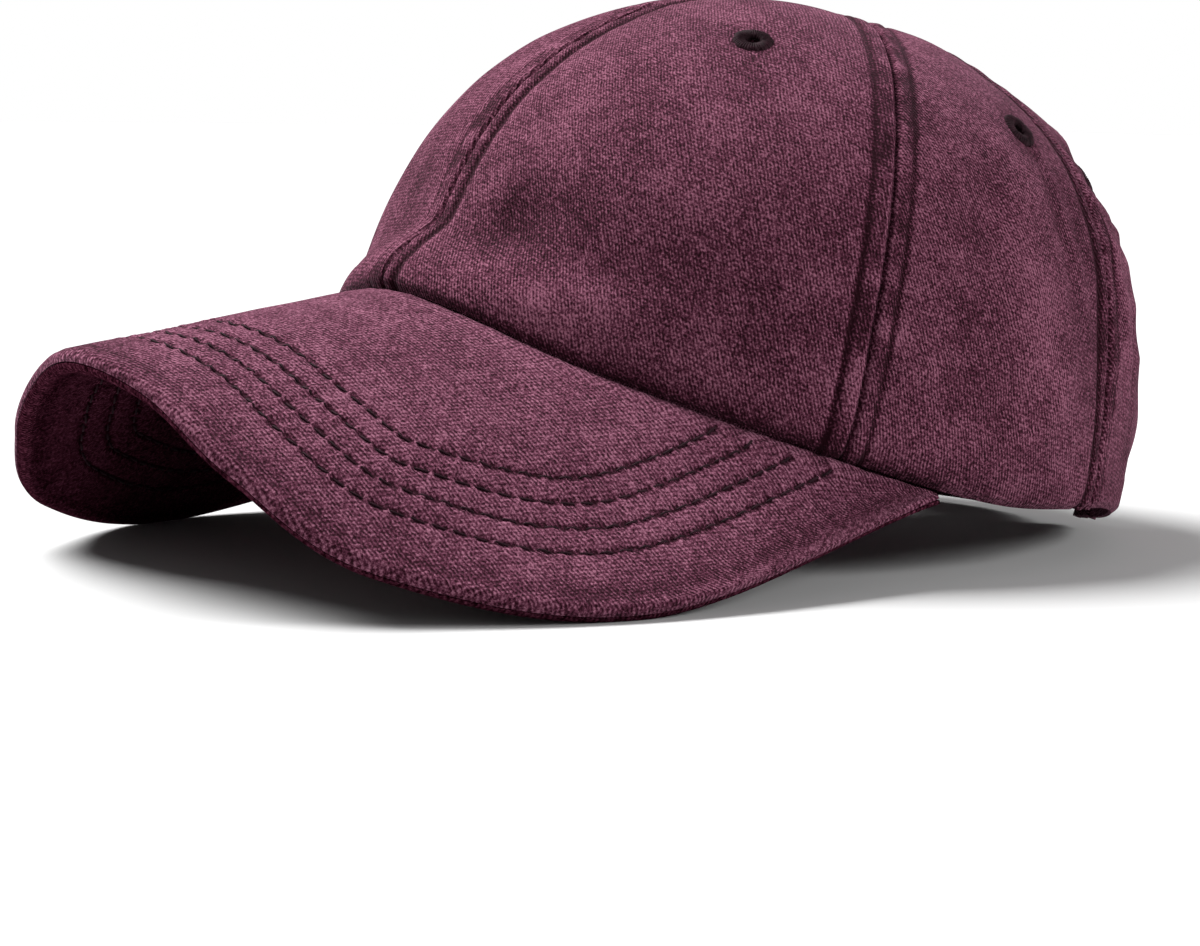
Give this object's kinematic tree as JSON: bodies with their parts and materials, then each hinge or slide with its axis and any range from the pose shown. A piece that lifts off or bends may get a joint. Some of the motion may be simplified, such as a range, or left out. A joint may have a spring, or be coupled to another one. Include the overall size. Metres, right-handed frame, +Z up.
{
  "type": "ponytail baseball cap",
  "caption": "Washed plum cotton cap with a long curved peak, a keyhole for a ponytail above the rear arch, and a strap with a metal buckle.",
  "frame": {"origin": "on the floor, below the middle of the cap's overall box", "axes": "+Z up; -Y towards the tip of the peak, +Y towards the rear strap; +X towards the wearer's left"},
  "size_m": [0.1848, 0.275, 0.1258],
  "materials": {
    "plum_cloth": "washed matte cotton twill",
    "under_cloth": "matte cotton twill",
    "facing_cloth": "washed matte cotton twill",
    "dark_thread": "matte thread",
    "antique_brass": "antique satin"
  },
  "bodies": {
    "root": {"panel_front_left": "plum_cloth", "panel_front_right": "plum_cloth", "panel_side_left": "plum_cloth", "panel_side_right": "plum_cloth", "panel_back_left": "plum_cloth", "panel_back_right": "plum_cloth", "peak_upper": "plum_cloth", "peak_lower": "under_cloth", "button": "plum_cloth", "eyelet_front_left": "dark_thread", "eyelet_front_right": "dark_thread", "eyelet_side_left": "dark_thread", "eyelet_side_right": "dark_thread", "eyelet_back_left": "dark_thread", "eyelet_back_right": "dark_thread", "arch_facing": "facing_cloth", "keyhole_facing": "facing_cloth", "strap": "facing_cloth", "strap_end": "facing_cloth", "buckle_tab": "facing_cloth", "buckle_frame": "antique_brass", "buckle_clamp": "antique_brass"}
  },
  "joints": []
}
